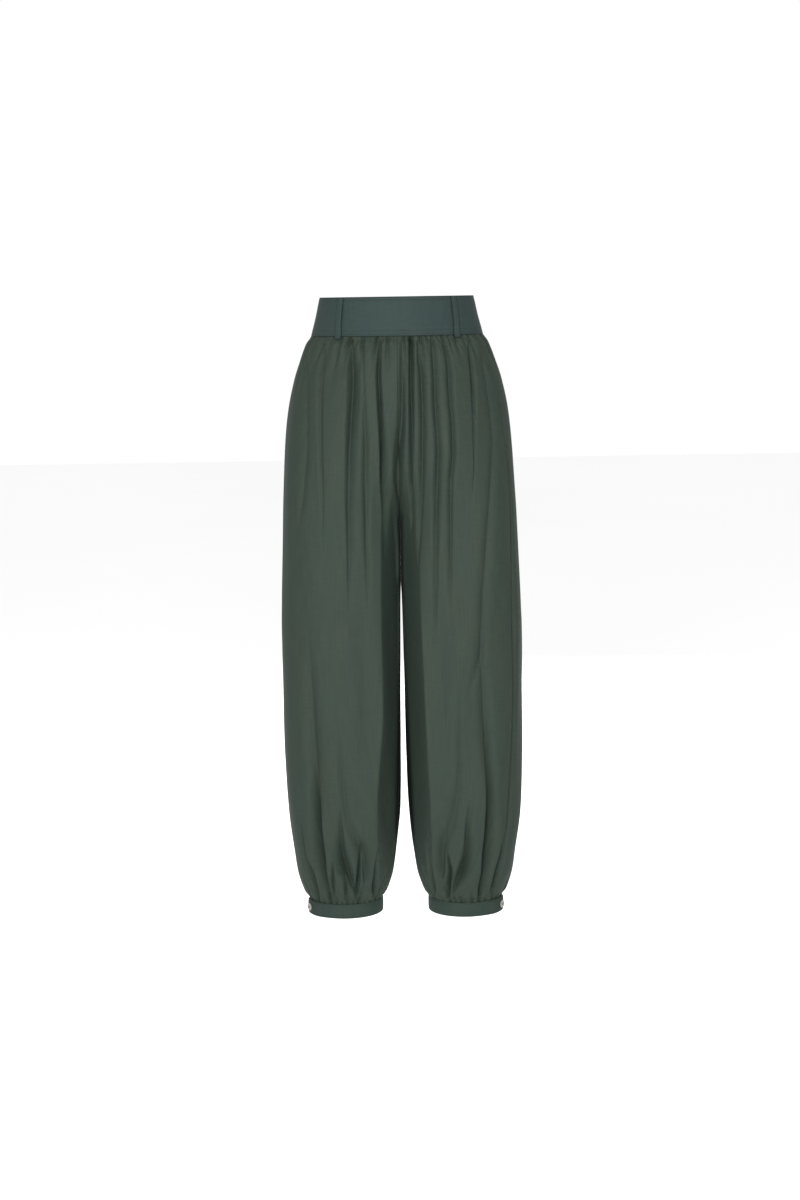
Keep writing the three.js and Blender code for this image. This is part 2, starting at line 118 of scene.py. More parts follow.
WAIST_BACK = table("x depth width length", (
    (-139, 2.6, 4, 90), (-128, 2.2, 3.6, 60), (-116, 3.4, 4, 110), (-103, 2.4, 3.2, 45),
    (-92, 3.6, 3.6, 90), (-79, 2.0, 3, 40), (-67, 4.0, 3.8, 120), (-54, 2.2, 3, 50),
    (-43, 3.4, 3.4, 90), (-30, 1.8, 3, 35), (-19, 3.6, 3.6, 100), (-7, 2.0, 3, 45),
    (6, 3.0, 3.4, 70), (18, 2.2, 3, 40), (29, 4.0, 3.6, 110), (42, 2.4, 3, 50),
    (53, 3.2, 3.4, 85), (66, 2.2, 3, 40), (77, 4.2, 3.8, 120), (90, 2.2, 3, 45),
    (101, 3.2, 3.4, 80), (114, 2.4, 3.2, 50), (126, 3.4, 3.8, 100), (138, 2.4, 4, 70),
))

# Gathers at the cuff seams: place across the body, depth, half width and how far up
CUFF_FRONT = table("x depth width length", (
    (-157, 1.6, 2.6, 30), (-152.6, 2.2, 2.8, 60), (-142.8, 3.4, 3.2, 80), (-133, 1.8, 2.6, 40),
    (-123.1, 4.2, 3.4, 70), (-113, 2.6, 2.8, 60), (-104, 1.4, 2.4, 20), (-95, 2.8, 2.8, 34),
    (-85.4, 2.0, 2.6, 26), (-77, 4.0, 3, 60), (-67, 1.4, 2.4, 22), (-57.5, 1.8, 2.6, 34),
    (-49.3, 4.4, 3.2, 60), (-43, 1.6, 2.6, 28), (46, 4.6, 3.2, 62), (53, 1.4, 2.4, 22),
    (60, 1.8, 2.6, 36), (72, 3.4, 3, 58), (80.5, 2.4, 2.6, 46), (90.4, 2.8, 2.8, 30),
    (97, 1.4, 2.4, 22), (108.4, 2.8, 2.8, 36), (120, 3.6, 3.2, 70), (129.7, 2.2, 2.6, 34),
    (141.2, 3.2, 3, 80), (147.7, 1.4, 2.6, 26), (156, 2.4, 2.8, 50),
))

CUFF_BACK = table("x depth width length", (
    (-156, 2.2, 2.8, 50), (-147, 2.6, 2.8, 60), (-137, 3.2, 3, 80), (-127, 1.8, 2.6, 36),
    (-118, 3.8, 3.2, 70), (-108, 2.2, 2.6, 44), (-98, 3.0, 3, 60), (-88, 1.6, 2.6, 30),
    (-79, 3.8, 3.2, 66), (-68, 2.2, 2.8, 40), (-58, 3.0, 3, 56), (-48, 2.2, 2.8, 36),
    (47, 2.4, 2.8, 44), (57, 3.2, 3, 60), (67, 2.0, 2.6, 34), (77, 3.6, 3.2, 70),
    (88, 2.2, 2.6, 40), (98, 3.2, 3, 64), (108, 1.8, 2.6, 30), (117, 3.8, 3.2, 76),
    (127, 2.2, 2.8, 40), (137, 3.0, 3, 60), (148, 2.4, 2.8, 50),
))


def fold(inner, outer, *rows, roll=0):
    """A long fold: how wide its valley is towards the middle and towards the side seam, how far
    it slides sideways under its ridge, outwards where positive, for each millimetre of depth,
    and its valley line with the depth along it."""
    return {"inner": inner, "outer": outer, "roll": roll, "path": table("z x depth", rows)}


FRONT_FOLDS = (
    # Right leg, from the middle outwards
    fold(7, 5, (-33, -28, 6), (-60, -29, 10), (-95, -30, 13), (-125, -29, 13), (-156, -28, 11),
        (-202, -26, 8), (-249, -25, 4), (-298, -24, 0)),
    fold(17, 5, (-100, -30, 0), (-156, -28, 7), (-202, -26, 13), (-249, -25, 18), (-298, -24, 17),
        (-345, -25, 7), (-380, -26, 0)),
    fold(10, 10, (-42, -54, 3), (-95, -53, 2), (-156, -52, 5), (-202, -51, 7), (-248, -51, 7),
        (-295, -51, 6), (-343, -52, 5), (-400, -52, 3), (-450, -52, 0)),
    fold(24, 8, (-33, -73, 7), (-60, -72.5, 12), (-95, -72.5, 15), (-155, -75, 14), (-201, -77, 12),
        (-247, -78.5, 10), (-294, -80, 8), (-341, -80, 6), (-400, -81, 3), (-470, -82, 0)),
    fold(11, 10, (-40, -115, 5), (-68, -117, 8), (-95, -120, 8), (-125, -121, 6), (-156, -121, 5),
        (-202, -121, 4), (-260, -120, 3), (-360, -122, 0)),
    fold(14, 16, (-60, -139, 2), (-110, -143, 5), (-180, -144, 5), (-262, -150, 4),
        (-340, -160, 0)),
    fold(22, 26, (-500, -146, 0), (-570, -145, 5), (-634, -144, 8), (-699, -143, 10),
        (-760, -141, 8), (-810, -138, 0)),
    fold(7, 30, (-690, -140, 0), (-735, -139.5, 6), (-770, -138, 14), (-812, -137, 23),
        (-853, -133.5, 27), (-886, -131, 21), (-914, -127.5, 13), (-937, -124, 5), roll=0.1),
    fold(8, 28, (-765, -103, 0), (-809, -101, 7), (-835, -100, 12), (-853, -98, 18),
        (-870, -94, 24), (-886, -90, 25), (-900, -86, 16), (-914, -82, 8),
        (-930, -80, 0), roll=0.1),
    fold(9, 6, (-835, -69, 0), (-854, -71, 8), (-884, -74.5, 15), (-914, -78, 17), (-930, -79, 9),
        (-938, -80, 3)),
    fold(10, 13, (-775, -172, 0), (-817, -168, 8), (-860, -164, 13), (-889, -156, 25),
        (-917, -148, 18), (-937, -142, 4)),
    fold(6, 7, (-860, -117, 0), (-883, -117, 6), (-913, -118, 11), (-937, -117, 5)),
    fold(5, 6, (-888, -96, 0), (-914, -96.5, 9), (-937, -97, 5)),
    fold(6, 9, (-845, -43, 0), (-872, -45, 8), (-890, -46, 12), (-918, -50, 15), (-938, -50, 4)),
    fold(18, 20, (-640, -100, 0), (-720, -98, 3), (-800, -90, 5), (-850, -66, 12), (-885, -62, 13),
        (-912, -62, 0)),
    # The middle seam, and the left leg from it outwards
    fold(12, 11, (-36, 7, 3), (-96, 6.5, 8), (-157, 4.5, 11), (-203, 0, 15), (-250, -2, 17),
        (-285, -1, 14), (-306, 0, 6)),
    fold(6, 6, (-33, 21, 9), (-60, 21, 13), (-96, 20.3, 15), (-126, 20, 15), (-157, 19.5, 14),
        (-203, 17.5, 13), (-250, 15.5, 12), (-297, 16, 8), (-340, 16, 0)),
    fold(9, 11, (-36, 33, 6), (-60, 34, 9), (-96, 37, 11), (-126, 37, 10), (-157, 37, 9),
        (-203, 35, 9), (-250, 32, 9), (-298, 29, 9), (-346, 28, 6), (-390, 28, 0)),
    fold(9, 12, (-36, 53.5, 4), (-97, 57, 9), (-127, 57, 9), (-157, 58, 8), (-203, 60, 9),
        (-250, 57.5, 10), (-297, 55.5, 8), (-344, 55, 6), (-440, 53, 3), (-530, 52, 0)),
    fold(10, 10, (-44, 73, 5), (-68, 79, 9), (-97, 80, 10), (-127, 80.5, 8), (-158, 83, 8),
        (-204, 83.5, 8), (-250, 79, 7), (-297, 78, 6), (-344, 77.5, 5), (-420, 76, 2),
        (-480, 76, 0)),
    fold(7, 8, (-40, 112, 5), (-65, 113, 11), (-97, 116, 12), (-128, 117, 10), (-159, 117, 6),
        (-220, 117, 3), (-290, 112, 0)),
    fold(14, 16, (-50, 132, 3), (-75, 134, 5), (-115, 141, 5), (-190, 147, 4), (-268, 142, 4),
        (-377, 133, 5), (-440, 128, 5), (-520, 124, 5), (-600, 100, 0)),
    fold(18, 20, (-480, 124, 0), (-568, 127, 5), (-633, 130, 8), (-698, 134, 9), (-750, 138, 5),
        (-790, 140, 0)),
    fold(6, 26, (-640, 131, 0), (-698, 132, 5), (-735, 133.5, 11), (-768, 134, 19),
        (-815, 132.5, 26), (-858, 128.5, 25), (-888, 126, 20), (-918, 122, 15), (-937, 120, 5)),
    fold(8, 14, (-95, 153, 0), (-147, 160, 3), (-226, 169.5, 5), (-319, 175, 8), (-446, 177, 10),
        (-575, 177.5, 11), (-640, 176.5, 12), (-706, 174.5, 13), (-771, 171, 12), (-821, 167, 9),
        (-860, 163, 0)),
    fold(8, 13, (-822, 163, 0), (-863, 157, 18), (-892, 150, 26), (-920, 142, 16), (-937, 137, 4)),
    fold(7, 28, (-760, 106, 0), (-813, 98.5, 8), (-835, 98, 12), (-856, 96, 17), (-872, 92, 23),
        (-887, 87.5, 25), (-903, 82, 16), (-917, 78, 9), (-932, 77, 0)),
    fold(9, 6, (-850, 66, 0), (-868, 69, 9), (-887, 72.5, 14), (-905, 70.5, 16), (-920, 69, 15),
        (-938, 69, 4)),
    fold(9, 7, (-830, 36, 0), (-862, 37, 12), (-892, 41, 12), (-922, 45, 15), (-938, 46, 4)),
    fold(18, 18, (-560, 92, 0), (-640, 90, 2), (-720, 88, 3), (-800, 76, 5), (-845, 58, 11),
        (-880, 56, 12), (-908, 56, 0)),
)

BACK_FOLDS = (
    fold(14, 17, (-40, -43, 5), (-90, -45, 13), (-170, -50, 16), (-260, -46, 13), (-350, -41, 8),
        (-470, -38, 0)),
    fold(17, 14, (-45, -67, 4), (-120, -72, 9), (-220, -80, 8), (-330, -84, 0)),
    fold(12, 17, (-36, -92, 5), (-90, -96, 12), (-180, -104, 12), (-300, -108, 6), (-420, -110, 0)),
    fold(11, 29, (-60, -118, 3), (-150, -126, 6), (-300, -130, 5), (-480, -128, 8),
        (-650, -126, 12), (-780, -128, 20), (-860, -126, 22), (-905, -121, 16), (-936, -117, 4)),
    fold(10, 24, (-740, -60, 0), (-800, -66, 8), (-860, -76, 18), (-892, -81, 21), (-915, -80, 13),
        (-932, -79, 0)),
    fold(10, 12, (-820, -165, 0), (-860, -160, 10), (-895, -148, 14), (-925, -139, 8),
        (-938, -137, 0)),
    fold(8, 10, (-820, -50, 0), (-860, -54, 10), (-900, -57, 14), (-930, -58, 5)),
    fold(14, 14, (-36, 6, 5), (-80, 7, 12), (-150, 6, 14), (-230, 2, 13), (-280, 0, 8),
        (-306, 0, 0)),
    fold(24, 10, (-40, 29, 5), (-90, 31, 10), (-180, 33, 14), (-270, 30, 13), (-340, 28, 8),
        (-420, 27, 0)),
    fold(12, 17, (-40, 77, 5), (-100, 80, 10), (-190, 84, 10), (-300, 80, 6), (-430, 76, 0)),
    fold(26, 11, (-50, 126, 3), (-140, 138, 6), (-280, 142, 5), (-450, 138, 6), (-620, 136, 10),
        (-760, 138, 17), (-830, 134, 21), (-890, 126, 16), (-936, 117, 4)),
    fold(24, 10, (-730, 110, 0), (-790, 104, 8), (-850, 94, 17), (-888, 84, 21), (-912, 79, 13),
        (-930, 77, 0)),
    fold(7, 8, (-860, 60, 0), (-890, 60, 12), (-920, 58, 10), (-938, 57, 3)),
    fold(10, 11, (-820, 176, 0), (-850, 168, 8), (-900, 156, 12), (-932, 148, 3)),
)

# The step between each leg's lit front and its shaded inner side: its place across the body and
# how far the cloth lies back within it
INNER_FRONT_RIGHT = table("z x back", (
    (-230, -26, 0), (-290, -27, 10), (-345, -28.5, 20), (-395, -29.5, 26), (-441, -30.2, 30),
    (-570, -31, 32), (-634, -32, 32), (-699, -36.5, 32), (-765, -41, 30), (-814, -42.5, 26),
    (-857, -43, 20), (-888, -45, 12), (-925, -50, 0)))
INNER_FRONT_LEFT = table("z x back", (
    (-240, 28, 0), (-298, 29, 5), (-345, 30, 7), (-395, 30.3, 11), (-441, 30.5, 18),
    (-500, 31.5, 26), (-570, 33, 30), (-635, 34.5, 32), (-701, 37, 32), (-767, 40.5, 30),
    (-817, 41.5, 26), (-861, 43, 18), (-892, 45, 10), (-925, 52, 0)))
INNER_BACK = table("z x back", (
    (-270, 30, 0), (-340, 28, 14), (-500, 28, 22), (-700, 31, 22), (-820, 37, 17), (-880, 43, 8),
    (-920, 48, 0)))


# Shape of the cloth

def follow(columns, name, z):
    """A smooth line down one column of a table: cubic pieces that never swing past its rows."""
    down, values = -columns["z"], columns[name]
    step = np.diff(down)
    slope = np.diff(values) / step
    above, below = slope[:-1], slope[1:]
    agree = above * below > 0
    mean = np.where(agree, 2 * above * below / np.where(agree, above + below, 1), 0)
    tangent = np.concatenate((slope[:1], mean, slope[-1:]))
    at = np.clip(-np.asarray(z, float), down[0], down[-1])
    i = np.clip(np.searchsorted(down, at) - 1, 0, len(step) - 1)
    t = (at - down[i]) / step[i]
    blend = t * t * (3 - 2 * t)
    leave, arrive = t * (1 - t) ** 2 * tangent[i], t * t * (t - 1) * tangent[i + 1]
    return values[i] + (values[i + 1] - values[i]) * blend + step[i] * (leave + arrive)


def ease(value, low, high):
    """0 below low, 1 above high, and a soft S between them."""
    t = np.clip((value - low) / (high - low), 0, 1)
    return t * t * (3 - 2 * t)


def signed_power(value, power):
    """|value| ^ power, with the sign of value."""
    return np.sign(value) * np.abs(value) ** power


# Points along each level line
SAMPLES = 900


class Quarter:
    """One quarter of the garment at many heights: the level line of cloth from the body's middle
    or the inside leg round to the side seam. x runs outwards, y away from the body's middle
    plane; each is a rounded-square arc, |x/half|^power + |y/depth|^power = 1 about its centre."""

    def __init__(self, sections, z, face):
        self.z = z
        self.centre = follow(sections, "centre", z)[:, None]
        half = follow(sections, "outer", z)[:, None] - self.centre
        depth = follow(sections, "front" if face == FRONT else "back", z)[:, None]
        power = follow(sections, "power", z)[:, None]
        reach = np.minimum(self.centre / half, 1)
        start = np.arccos(-reach ** (power / 2))
        angle = start * (1 - np.linspace(0, 1, SAMPLES)[None, :])
        self.x = self.centre + half * signed_power(np.cos(angle), 2 / power)
        self.y = depth * np.abs(np.sin(angle)) ** (2 / power)
        steps = np.hypot(np.diff(self.x, axis=1), np.diff(self.y, axis=1))
        self.s = np.concatenate((np.zeros((len(z), 1)), np.cumsum(steps, axis=1)), axis=1)
        self.length = self.s[:, -1:]

    def at(self, s):
        """The points and outward directions at distances s along each row."""
        def read(values, shift=0):
            rows = range(len(self.z))
            return np.array([np.interp(s[i] + shift, self.s[i], values[i]) for i in rows])

        x, y = read(self.x), read(self.y)
        along_x, along_y = (read(line, 1) - read(line, -1) for line in (self.x, self.y))
        size = np.hypot(along_x, along_y)
        return x, y, -along_y / size, along_x / size

    def distance_to(self, x):
        """How far along each row the cloth reaches x, which has one value for each row; a place
        beyond the middle seam comes out negative."""
        found = [np.interp(abs(value), self.x[i], self.s[i]) for i, value in enumerate(x)]
        return np.array(found) * np.where(x < 0, -1, 1)


def spread_rows(top, foot, count, crowds):
    """Heights from top to foot, closer together near each crowd's height."""
    fine = np.linspace(top, foot, 4000)
    density = np.ones_like(fine)
    for height, extra, reach in crowds:
        density += extra * np.exp(-((fine - height) / reach) ** 2)
    total = np.concatenate(([0], np.cumsum((density[1:] + density[:-1]) / 2)))
    return np.interp(np.linspace(0, total[-1], count), total, fine)


def trough(offset, inner, outer, sharp):
    """A valley 1 deep at offset 0 that fades to 0: exp(-|offset / width| ^ sharp)."""
    return np.exp(-np.abs(offset / np.where(offset > 0, outer, inner)) ** sharp)


def crease(offset, inner, outer):
    """A valley 1 deep at offset 0 that steepens towards its line, 1 minus a rounded distance
    over a width, fading as about the square of what is left."""
    far = np.sqrt((offset / np.where(offset > 0, outer, inner)) ** 2 + 0.006) - 0.077
    return np.clip(1 - far, 0, 1) ** 2.1


# How many millimetres deep a gather of depth 1 is
GATHER_SCALE = 3.2


def gather_depth(quarter, s, gathers, side, seam, way):
    """Gathers run from a seam and fade out: each moves out as the cloth widens, by 0.8 of what
    would keep its share of the width, and grows wider itself. Its depth falls as
    (1 - run / length) ^ 1.3, and beside the seam it is pinched to 0.55 of that."""
    z = quarter.z[:, None]
    run = np.maximum((seam - z) * way, 0)
    at_seam = np.argmin(np.abs(quarter.z - seam))
    pinch = 0.55 + 0.45 * ease(run, 0, 7)
    total = np.zeros_like(s)
    for x, depth, width, length in zip(*(gathers[k] for k in ("x", "depth", "width", "length"))):
        if side * x < -30:
            continue
        start = quarter.distance_to(np.full(len(quarter.z), side * x))[at_seam]
        share = start / quarter.length[at_seam]
        place = start + (quarter.length * share - start) * 0.8
        fade = np.clip(1 - run / length, 0, 1) ** 1.3
        widen = width * (0.75 + 1.6 * run / length)
        total += GATHER_SCALE * depth * pinch * fade * trough(s - place, widen, widen, 1.3)
    return total


def fold_moves(quarter, s, folds, side):
    """How far the long folds push the cloth in, and how far they slide it along itself: each
    adds its depth times the crease about its line, which narrows where the fold is shallow."""
    z = quarter.z
    inward, along = np.zeros_like(s), np.zeros_like(s)
    for one in folds:
        path = one["path"]
        rows = (z <= path["z"].max()) & (z >= path["z"].min())
        x = side * follow(path, "x", z)
        depth = np.maximum(follow(path, "depth", z), 0) * rows
        depth = np.where((x < -40) | ((x < 0) & (z < CROTCH + 20)), 0, depth)
        if not depth.any():
            continue
        offset = s - quarter.distance_to(x)[:, None]
        grow = np.clip(depth / depth.max(), 0.15, 1)[:, None] ** 0.5
        push = depth[:, None] * crease(offset, one["inner"] * grow, one["outer"] * grow)
        inward += push
        along += one["roll"] * push
    return inward, along


def lie_back(quarter, s, step, side):
    """The inner side of a leg turns back at a sharp crease, (back + rise) * (1 - exp(-distance /
    13)) - rise, and comes forward again to the inside leg; before the crease the cloth rises to
    it, so that the leg's front lies flat."""
    x = np.abs(np.interp(-quarter.z, -step["z"], step["x"]))
    back = np.interp(-quarter.z, -step["z"], step["back"])[:, None]
    rise = 0.38 * back
    within = quarter.distance_to(x)[:, None] - s
    beyond = 0.5 * (within + np.sqrt(within ** 2 + 1.5))
    turned = (back + rise) * (1 - np.exp(-beyond / 13)) * ease(s, 5, 40)
    return turned - rise * np.clip(1 + np.minimum(within, 0) / 36, 0, 1) ** 1.5 * ease(s, 5, 40)


def slow_waves(s, z, seed):
    """Faint swells of the hanging cloth: a few crossing sine waves, long down the leg."""
    rng = np.random.default_rng(seed)
    total = np.zeros(np.broadcast(s, z).shape)
    for _ in range(7):
        across, down = rng.uniform(45, 130), rng.uniform(260, 700)
        phase, size = rng.uniform(0, 2 * np.pi), rng.uniform(0.25, 0.7)
        total += size * np.sin(2 * np.pi * (s / across + z / down) + phase)
    return total


def small_pleats(s, run, length, seed):
    """Fine uneven pleats beside a gathered seam, of sine waves 6 to 12 mm long."""
    rng = np.random.default_rng(seed)
    total = np.zeros(np.broadcast(s, run).shape)
    for wave in (6.3, 7.9, 9.7, 11.9):
        drift, phase = rng.uniform(-0.02, 0.02), rng.uniform(0, 2 * np.pi)
        total += np.sin(2 * np.pi * s / wave + drift * run + phase)
    return 0.34 * total * np.clip(1 - run / length, 0, 1) ** 2


def leg_panel_grid(side, face, seed):
    """The outer points of one leg panel and its own crosswise and lengthwise measure. Its
    columns hold their distance from the side seam, and only those near the inside leg spread
    out where the crotch adds cloth. The level lines are moved out by slow swells and pleats, in
    by folds and gathers, and in again by a groove at each seam."""
    crowds = ((PANEL_TOP, 3.2, 55), (PANEL_FOOT, 2.6, 75), (CROTCH, 2.0, 22))
    z = spread_rows(PANEL_TOP, PANEL_FOOT, PANEL_ROWS, crowds)
    quarter = Quarter(LEG, z, face)
    t = np.linspace(1, 0, PANEL_COLUMNS)
    away = t + 0.3 * np.sin(2 * np.pi * t) / (2 * np.pi)
    weights = np.exp(-((z[:, None] - z[None, :]) / 45) ** 2)
    even = (weights @ quarter.length) / weights.sum(1, keepdims=True)
    from_side = even * away + (quarter.length - even) * away ** 5
    s = np.maximum(quarter.length - from_side, 0)
    heights = z[:, None]
    waist, cuff = (WAIST_FRONT, CUFF_FRONT) if face == FRONT else (WAIST_BACK, CUFF_BACK)
    gathered = gather_depth(quarter, s, waist, side, BAND_FOOT, 1)
    gathered += gather_depth(quarter, s, cuff, side, CUFF_TOP, -1)
    inward, along = fold_moves(quarter, s, FRONT_FOLDS if face == FRONT else BACK_FOLDS, side)
    swell = slow_waves(from_side, heights, seed) * ease(-heights, 60, 200) * ease(heights, -930, -780)
    swell += small_pleats(from_side, BAND_FOOT - heights, 45, seed + 1) * ease(-heights, 24, 34)
    swell += small_pleats(from_side, heights - CUFF_TOP, 38, seed + 2) * ease(heights, -948, -940)
    # The cloth puffs out below the waist seam and above the cuff
    swell += 1.6 * ease(-heights, 31, 42) * ease(heights, -120, -50)
    swell += 1.6 * ease(heights, -945, -936) * ease(-heights, 860, 905)
    below_crotch = ease(-heights, -CROTCH - 40, -CROTCH + 10)
    calm = ease(from_side, 0, 9) * (1 - below_crotch * (1 - ease(s, 0, 9)))
    seam = 0.8 * trough(from_side, 1.3, 1.3, 2) + 0.35 * trough(s, 1, 1, 2)
    out = (swell - inward - gathered) * calm - seam
    along = along * calm * ease(s, 0, 25)
    x, y, out_x, out_y = quarter.at(s)
    if face == BACK:
        step = INNER_BACK
    else:
        step = INNER_FRONT_LEFT if side == LEFT else INNER_FRONT_RIGHT
    back = lie_back(quarter, s, step, side)
    clear = ease(x, 0, 12)
    x = np.maximum(x + (out * out_x + along * out_y) * clear, 0.02)
    y = np.maximum(y + out * out_y - along * out_x - back, 0.02)
    points = np.stack((side * x, face * y, np.broadcast_to(heights, x.shape)), axis=-1)
    drop = np.broadcast_to(-heights, x.shape)
    return points, np.stack((from_side, drop), axis=-1)


# Belt line: the waistband's face and, below its seam, the gathered cloth that a loop's foot
# is sewn over
BELOW_SEAM = list(LEG["z"]).index(-40)
BELT_LINE = {key: np.append(BAND[key], LEG[key][BELOW_SEAM]) for key in BAND}

# How finely a strip's cross-section is cut, where its stitches lie, and the dip beside them
BAND_PROFILE_STEP, CUFF_PROFILE_STEP = 1.0, 0.8
BAND_STITCHES = (BAND_TOP - 4, BAND_FOOT + 9.5, BAND_FOOT + 4.4)
CUFF_STITCHES = (CUFF_TOP - 2, CUFF_FOOT + 2.2)
DIP_DEPTH, DIP_WIDTH = 0.8, 1.1
STRIP_BULGE = 0.5


def strip_profile(top, foot, thick, dips, step):
    """Offsets out of a strip's face and heights, round its cross-section: from the middle of the
    inner side up, over the rolled top edge, down the face, which bulges as a sine and dips at
    its stitches, and round the foot to the middle again, out of sight."""
    edge = thick / 2
    turn = np.linspace(0, np.pi, 9)
    face = np.arange(top - edge, foot + edge, -step)
    along = (face - face[-1]) / (face[0] - face[-1])
    out = STRIP_BULGE * np.sin(np.pi * along) ** 0.7
    for dip in dips:
        out -= DIP_DEPTH * np.exp(-((face - dip) / DIP_WIDTH) ** 2)
    middle = (top + foot) / 2
    inside = np.linspace(foot + edge, top - edge, 13)
    lower, upper = inside[inside < middle], inside[inside >= middle]
    offset = np.concatenate((
        np.full(len(upper) - 1, -thick), -edge - edge * np.cos(turn), out[1:-1],
        -edge + edge * np.cos(turn), np.full(len(lower) - 1, -thick)))
    height = np.concatenate((
        upper[:-1], top - edge + edge * np.sin(turn), face[1:-1],
        foot + edge - edge * np.sin(turn), lower[1:]))
    return offset, height


def with_ends(points):
    """Closes both ends of a strip: an extra column at each, drawn together to one point."""
    first = np.repeat(points[:, :1].mean(0, keepdims=True), len(points), 0)
    last = np.repeat(points[:, -1:].mean(0, keepdims=True), len(points), 0)
    return np.concatenate((first, points, last), axis=1)


def band_points(face, share, offset, z):
    """Points on the waistband: share runs from -1 at the right side seam to 1 at the left, one
    column for each, and each row has its own distance out of the face and height."""
    quarter = Quarter(BAND, np.asarray(z, float), face)
    s = np.abs(share)[None, :] * quarter.length
    x, y, out_x, out_y = quarter.at(s)
    side = np.where(share < 0, -1, 1)[None, :]
    points = (side * (x + offset * out_x), face * (y + offset * out_y))
    heights = np.broadcast_to(np.asarray(z, float)[:, None], x.shape)
    return np.stack((*points, heights), -1), s * side


def ruches(s, z, seed):
    """Elastic ruching: uneven ridges about 8 mm apart, as a sum of four sine waves, which run up
    the band and wander a little."""
    rng = np.random.default_rng(seed)
    total = np.zeros(np.broadcast(s, z).shape)
    for wave, size in ((8.1, 1.0), (9.4, 0.55), (6.7, 0.45), (19.0, 0.4)):
        phase, wander = rng.uniform(0, 2 * np.pi, 2)
        drift = 0.5 * np.sin(z / rng.uniform(14, 30) + wander)
        total += size * np.sin(2 * np.pi * s / wave + phase + drift)
    return total


def band_relief(face, share, z, ruche, seed):
    """How far the band's face stands out: its ruches, calmer at its edges, or without elastic
    a faint slow wave; either fades to nothing at the side seams."""
    s = share[None, :] * Quarter(BAND, z, face).length
    ends = ease(1 - np.abs(share), 0, 0.06)[None, :]
    heights = z[:, None]
    if not ruche:
        return ends * 0.12 * slow_waves(s, heights * 3, seed)
    up = np.clip((heights - BAND_FOOT) / (BAND_TOP - BAND_FOOT), 0, 1)
    calm = 0.55 + 0.45 * np.sin(np.pi * up)
    return ends * (ruche * calm * (ruches(s, heights, seed) - 1.2))


# Meshes

def grid_faces(rows, columns, round_rows=False):
    """Four-sided faces of a grid of points, closed along its rows where round_rows is set."""
    i = np.arange(rows if round_rows else rows - 1)[:, None]
    j = np.arange(columns - 1)[None, :]
    below = (i + 1) % rows
    corners = (i * columns + j, below * columns + j, below * columns + j + 1, i * columns + j + 1)
    return np.stack([np.broadcast_to(c, (len(i), columns - 1)) for c in corners], -1).reshape(-1, 4)


def in_scene(name, data):
    """A new object for a mesh, light or camera, linked to the scene."""
    holder = bpy.data.objects.new(name, data)
    bpy.context.scene.collection.objects.link(holder)
    return holder


def make_piece(name, points, faces, measure=None):
    """A mesh object from points in millimetres; measure is each point's own place on the cloth
    in millimetres, kept as its UV map in metres."""
    mesh = bpy.data.meshes.new(name)
    mesh.vertices.add(len(points))
    mesh.vertices.foreach_set("co", (np.asarray(points, float) * MM).ravel())
    mesh.loops.add(faces.size)
    mesh.loops.foreach_set("vertex_index", faces.ravel())
    mesh.polygons.add(len(faces))
    mesh.polygons.foreach_set("loop_start", np.arange(0, faces.size, faces.shape[1]))
    mesh.polygons.foreach_set("use_smooth", np.ones(len(faces), bool))
    if measure is not None:
        layer = mesh.uv_layers.new(name="cloth")
        layer.data.foreach_set("uv", (np.asarray(measure, float) * MM)[faces.ravel()].ravel())
    mesh.update(calc_edges=True)
    mesh.validate()
    return in_scene(name, mesh)


def dress(piece, material, slot, *nodes):
    """Gives a piece its finish and its body, and hides the plain nodes that it stands for."""
    piece.data.materials.append(material)
    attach(piece, "root")
    if nodes:
        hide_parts(*nodes)
    return piece


def outward(points, faces):
    """A closed mesh's faces, turned so that it holds a positive volume."""
    a, b, c, d = (points[faces[:, i]] for i in range(4))
    volume = np.einsum("ij,ij->", a, np.cross(b, c)) + np.einsum("ij,ij->", a, np.cross(c, d))
    return faces if volume > 0 else faces[:, ::-1]


def strip_piece(name, points, across, along, material):
    """A strip from a grid that is closed round its rows, with both ends drawn together; across
    and along are its cloth's own measure."""
    measure = np.stack([np.broadcast_to(m, points.shape[:2]) for m in (across, along)], -1)
    points, measure = with_ends(points), np.concatenate(
        (measure[:, :1], measure, measure[:, -1:]), axis=1)
    faces = grid_faces(*points.shape[:2], round_rows=True)
    flat = points.reshape(-1, 3)
    piece = make_piece(name + "_cloth", flat, outward(flat, faces), measure.reshape(-1, 2))
    return dress(piece, material, "band_cloth", name)


def waistband(name, face, columns, ruche, seed, material):
    """Half of the waistband: its cross-section carried from side seam to side seam."""
    share = np.linspace(-0.9998, 0.9998, columns)
    offset, z = strip_profile(BAND_TOP, BAND_FOOT, BAND_THICK, BAND_STITCHES, BAND_PROFILE_STEP)
    offset = offset[:, None] + band_relief(face, share, z, ruche, seed)
    points, s = band_points(face, share, offset, z)
    around = np.arange(len(z))[:, None] * BAND_PROFILE_STEP
    return strip_piece(name, points, s, around, material)


def loop_points(face, top, foot, across, lift, z):
    """Points of a belt loop: one row for each place across its section, one column for each
    height. across runs along the band, lift is the distance off the cloth beneath."""
    side = 1 if top > 0 else -1
    quarter = Quarter(BELT_LINE, z, face)
    down = (z[0] - z) / (z[0] - z[-1])
    middle = quarter.distance_to(np.abs(top + (foot - top) * down))[:, None]
    x, y, out_x, out_y = quarter.at(np.broadcast_to(middle, (len(z), 1)))
    x = x + across.T * out_y + lift.T * out_x
    y = y - across.T * out_x + lift.T * out_y
    heights = np.broadcast_to(z[:, None], x.shape)
    return np.stack((side * x, face * y, heights), -1).transpose(1, 0, 2)


